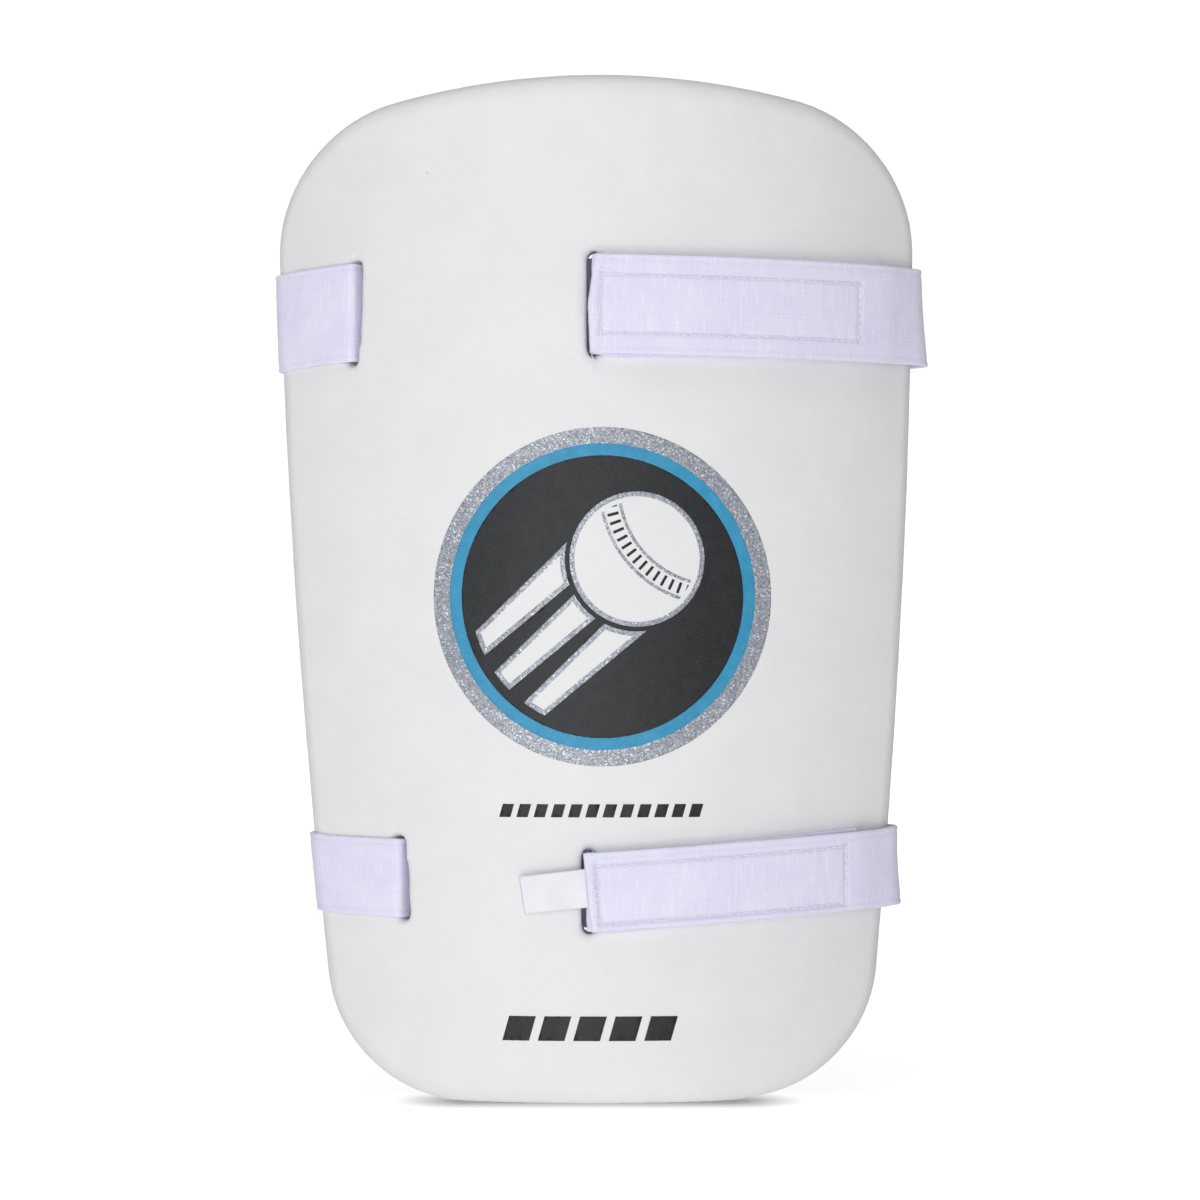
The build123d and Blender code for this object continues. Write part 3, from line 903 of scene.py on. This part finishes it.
def film(name, node, material):
    """A thin print that follows the shell's front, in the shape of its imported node."""
    shape = bmesh.new()
    shape.from_mesh(frame["nodes"][node].data)
    bmesh.ops.remove_doubles(shape, verts=shape.verts, dist=0.001 * MM)
    low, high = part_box(node)
    for axis in (0, 2):
        way = Vector((axis == 0, 0, axis == 2))
        for cut in np.arange(low[axis] / MM + PRINT_STEP, high[axis] / MM, PRINT_STEP):
            parts = [*shape.verts, *shape.edges, *shape.faces]
            bmesh.ops.bisect_plane(shape, geom=parts, plane_co=way * cut * MM, plane_no=way, dist=CUT_SNAP)
    mesh = bpy.data.meshes.new(name)
    shape.to_mesh(mesh)
    shape.free()
    points = coordinates(mesh)
    out, way = out_from_front(points)
    layer = np.where(out > out.mean(), PRINT_LAYER[1], PRINT_LAYER[0])
    set_coordinates(mesh, points + way * (layer + swells(points) - out)[:, None])
    piece = add_object(name, mesh, material)
    mesh.set_sharp_from_angle(angle=CREASE)
    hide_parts(node)
    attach(piece, "root")


def silver_material():
    """Silver ink full of fine glitter."""
    n = Nodes("silver_ink")
    place = n.place()
    flakes = n.add("TexVoronoi", {"Vector": place, "Scale": 2300.0})
    shade = n.add("SeparateColor", {"Color": flakes.outputs["Color"]}).outputs
    cloud = n.noise(place, 160.0, 3.0)
    base = n.mix(n.ramp(shade["Red"], 0.1, 0.9), (0.22, 0.235, 0.27, 1), (0.46, 0.485, 0.55, 1))
    glint = n.math("GREATER_THAN", shade["Green"], 0.9)
    sparkled = n.mix(n.math("MULTIPLY", glint, 0.8), base, (0.86, 0.89, 0.95, 1))
    colour = n.mix(n.ramp(cloud, 0.35, 0.7, 0.0, 0.25), sparkled, (0.25, 0.27, 0.33, 1))
    n.bump(shade["Blue"], 0.00006)
    return n.finish(colour, n.ramp(shade["Blue"], 0, 1, 0.35, 0.6), Metallic=0.25)


def ink_material(name, dark, light, fleck):
    """A screen-printed ink with a grainy, slightly broken surface."""
    n = Nodes(name)
    place = n.place()
    grain = n.noise(place, 2600.0, 2.0, 0.7)
    cloud = n.noise(place, 240.0, 3.0)
    base = n.mix(n.ramp(cloud, 0.3, 0.7), dark, light)
    pits = n.ramp(grain, 0.6, 0.72, 0.0, 0.8)
    colour = n.mix(pits, base, fleck)
    n.bump(n.math("ADD", grain, n.noise(place, 700.0, 2.0)), 0.00005)
    return n.finish(colour, n.ramp(grain, 0.3, 0.7, 0.42, 0.6), Specular_IOR_Level=0.35)


def thread_material():
    n = Nodes("thread")
    ply = n.noise(n.place(), 3200.0, 2.0, 0.6)
    colour = n.mix(n.ramp(ply, 0.35, 0.65), (0.74, 0.74, 0.84, 1), (0.93, 0.93, 0.96, 1))
    n.bump(ply, 0.00005)
    return n.finish(colour, n.ramp(ply, 0.3, 0.7, 0.45, 0.6), Sheen_Weight=0.2)


def satin_material():
    """White satin ribbon: fine cross threads, and a closer edge."""
    n = Nodes("label_satin")
    weave = n.weave()
    threads = n.noise(n.scaled(weave, (2400.0, 260.0, 1.0)), 1.0, 2.0)
    cloud = n.noise(n.place(), 90.0, 2.0)
    colour = n.mix(n.ramp(cloud, 0.3, 0.7), (0.76, 0.76, 0.82, 1), (0.82, 0.82, 0.86, 1))
    shaded = n.mix(n.ramp(threads, 0.55, 0.75, 0.0, 0.3), colour, (0.68, 0.69, 0.76, 1))
    n.bump(threads, 0.00004)
    return n.finish(shaded, n.ramp(threads, 0.3, 0.7, 0.34, 0.5), Sheen_Weight=0.1)


def pile_material():
    """Brushed loop pile: tangled white loops, darker where the pile is low: painted shade between the loops.
    """
    n = Nodes("loop_pile")
    place = n.place()
    tangle = n.noise(place, 1300.0, 4.0, 0.75)
    clump = n.noise(place, 420.0, 2.0)
    mixed = n.math("MULTIPLY_ADD", tangle, 0.6, n.math("MULTIPLY", clump, 0.4))
    # painted shade: the colour darkens where the bump's height is low, between the loops
    colour = n.mix(n.ramp(mixed, 0.38, 0.6), (0.5, 0.5, 0.6, 1), (0.87, 0.87, 0.93, 1))
    n.bump(mixed, 0.0005)
    return n.finish(colour, n.ramp(mixed, 0.3, 0.7, 0.95, 0.8), Sheen_Weight=0.5)


def hook_material():
    """White nylon tape, with a woven ground."""
    n = Nodes("hook_tape")
    place = n.place()
    weave = n.add("TexVoronoi", {"Vector": place, "Scale": 1500.0}).outputs["Distance"]
    cloud = n.noise(place, 130.0, 2.0)
    colour = n.mix(n.ramp(cloud, 0.3, 0.7), (0.74, 0.74, 0.82, 1), (0.82, 0.82, 0.89, 1))
    worn = n.mix(n.ramp(weave, 0.25, 0.6, 0.0, 0.4), colour, (0.6, 0.6, 0.7, 1))
    n.bump(weave, 0.00008)
    return n.finish(worn, n.ramp(weave, 0.1, 0.6, 0.35, 0.5), Specular_IOR_Level=0.5)


# Stage

EYE = 162.0  # the camera's height
VIEW_SPAN = 381.24  # what the picture's width takes in at its distance
VIEW_DISTANCE = 1500.0
VIEW_PLANE = -27.0
VIEW_SIDE = 0.6  # how far right of the guard's middle the camera stands
SENSOR = 36.0


def camera():
    data = bpy.data.cameras.new("camera")
    data.sensor_width = SENSOR
    data.lens = SENSOR * VIEW_DISTANCE / VIEW_SPAN
    data.clip_start, data.clip_end = 0.05, 100.0
    thing = bpy.data.objects.new("camera", data)
    thing.location = Vector((VIEW_SIDE, VIEW_PLANE - VIEW_DISTANCE, EYE)) * MM
    thing.rotation_euler = (pi / 2, 0, 0)
    bpy.context.scene.collection.objects.link(thing)
    bpy.context.scene.camera = thing


# Softboxes: azimuth from the camera's side to the right and elevation, both in degrees, then distance and
# size in metres, and power in watts
SOFTBOXES = {
    "key": (-10, -8, 2.2, (1.3, 2.0), 27.0),
    "top": (-15, 72, 1.8, (1.6, 1.6), 9.5),
}
AMBIENT = (0.66, 0.25)  # the sky's strength from the white floor's side, and from above
HORIZON = 0.5  # how far up and down the one blends into the other
FLOOR_GLOW = 0.78  # near the guard, to which the lights add the rest
BACKDROP = 1.05  # how brightly the white behind the guard glows
FADE = (0.3, 1.2)  # from the guard, where the floor's glow turns into the backdrop's
FOOT_REACH = 0.042  # the floor's painted shadow is as deep this far to each side of the middle
PAINTED_FOOT_SHADOW = (0.005, 0.027, 0.0, 1.0)  # the painted contact shadow: distances past that, and the share of the glow at each
DOME = 9.0


def softbox(name, azimuth, elevation, distance, size, power):
    """A rectangular light that looks at the middle of the guard."""
    data = bpy.data.lights.new(name, "AREA")
    data.shape, data.size, data.size_y = "RECTANGLE", *size
    data.energy = power
    thing = bpy.data.objects.new(name, data)
    a, e = radians(azimuth), radians(elevation)
    way = Vector((sin(a) * cos(e), -cos(a) * cos(e), sin(e)))
    thing.location = Vector((0, 0, EYE * MM)) + way * distance
    thing.rotation_euler = way.to_track_quat("Z", "Y").to_euler()
    bpy.context.scene.collection.objects.link(thing)


def sky():
    """White light from all around, stronger from below, where a white floor would send it back up."""
    world = bpy.data.worlds.new("world")
    world.use_nodes = True
    tree, background = world.node_tree, world.node_tree.nodes["Background"]
    way = tree.nodes.new("ShaderNodeTexCoord")
    axes = tree.nodes.new("ShaderNodeSeparateXYZ")
    fade = tree.nodes.new("ShaderNodeMapRange")
    ends = {"From Min": -HORIZON, "From Max": HORIZON, "To Min": AMBIENT[0], "To Max": AMBIENT[1]}
    for socket, value in ends.items():
        fade.inputs[socket].default_value = value
    tree.links.new(way.outputs["Generated"], axes.inputs[0])
    tree.links.new(axes.outputs["Z"], fade.inputs["Value"])
    tree.links.new(fade.outputs["Result"], background.inputs["Strength"])
    background.inputs["Color"].default_value = (1, 1, 1, 1)
    bpy.context.scene.world = world


def floor_material():
    """A pale, faintly stained floor that glows white, with less glow close to the guard's foot as a painted
    contact shadow.
    """
    n = Nodes("floor")
    place = n.place()
    stains = n.ramp(n.noise(place, 3.0), 0.3, 0.7, 0.48, 0.5)
    n.put(n.shader.inputs["Emission Color"], (1, 1, 1, 1))
    away = n.add("VectorMath", {0: place}, operation="LENGTH").outputs["Value"]
    axes = n.add("SeparateXYZ", {"Vector": place})
    past = n.math("MAXIMUM", n.math("SUBTRACT", n.math("ABSOLUTE", axes.outputs["X"]), FOOT_REACH), 0.0)
    beside = n.add("CombineXYZ", {"X": past, "Y": axes.outputs["Y"]}).outputs["Vector"]
    clear = n.add("VectorMath", {0: beside}, operation="LENGTH").outputs["Value"]
    # painted contact shadow: the glow is dimmed close to the guard's foot
    glow = n.math("MULTIPLY", n.ramp(clear, *PAINTED_FOOT_SHADOW), n.ramp(away, *FADE, FLOOR_GLOW, BACKDROP))
    n.put(n.shader.inputs["Emission Strength"], glow)
    white = n.add("CombineColor", {"Red": stains, "Green": stains, "Blue": stains}).outputs[0]
    return n.finish(white, 0.9)


def backdrop_material():
    n = Nodes("backdrop")
    n.put(n.shader.inputs["Emission Color"], (1, 1, 1, 1))
    n.shader.inputs["Emission Strength"].default_value = BACKDROP
    return n.finish((0, 0, 0, 1), 1.0, Specular_IOR_Level=0.0)


def stage_piece(name, material, unseen_by, shaper, smooth=True, **shape_settings):
    """A piece of the stage that some kinds of ray pass through."""
    mesh = bpy.data.meshes.new(name)
    shape = bmesh.new()
    shaper(shape, radius=DOME, **shape_settings)
    shape.to_mesh(mesh)
    shape.free()
    thing = add_object(name, mesh, material, smooth)
    for ray in unseen_by:
        setattr(thing, "visible_" + ray, False)
    return thing


def stage():
    bpy.context.scene.view_settings.view_transform = "Standard"
    sky()
    rays = ("diffuse", "glossy", "shadow")
    disc = {"cap_ends": True, "segments": 64}
    floor = stage_piece("floor", floor_material(), rays, bmesh.ops.create_circle, smooth=False, **disc)
    rays = ("diffuse", "glossy", "transmission", "shadow")
    ball = {"u_segments": 48, "v_segments": 24}
    dome = stage_piece("backdrop", backdrop_material(), rays, bmesh.ops.create_uvsphere, **ball)
    for name, settings in SOFTBOXES.items():
        softbox(name, *settings)


camera()
stage()
shell()
grids = straps()
thread, pile, hook = thread_material(), pile_material(), hook_material()
for strap in (UPPER, LOWER):
    loop_patch(strap, pile)
    hook_patch(strap, hook)
    sew_tab(strap, *grids[strap.name], thread)
size_label(satin_material())
film("roundel_silver", "emblem_silver", silver_material())
blue = ink_material("blue_ink", (0.03, 0.27, 0.48, 1), (0.045, 0.32, 0.54, 1), (0.2, 0.5, 0.68, 1))
film("roundel_blue", "emblem_blue", blue)
black = ink_material("black_ink", (0.012, 0.013, 0.016, 1), (0.02, 0.021, 0.025, 1), (0.09, 0.09, 0.1, 1))
film("roundel_black", "emblem_black", black)
film("short_bars", "short_mark_print", black)
film("long_bars", "long_mark_print", black)
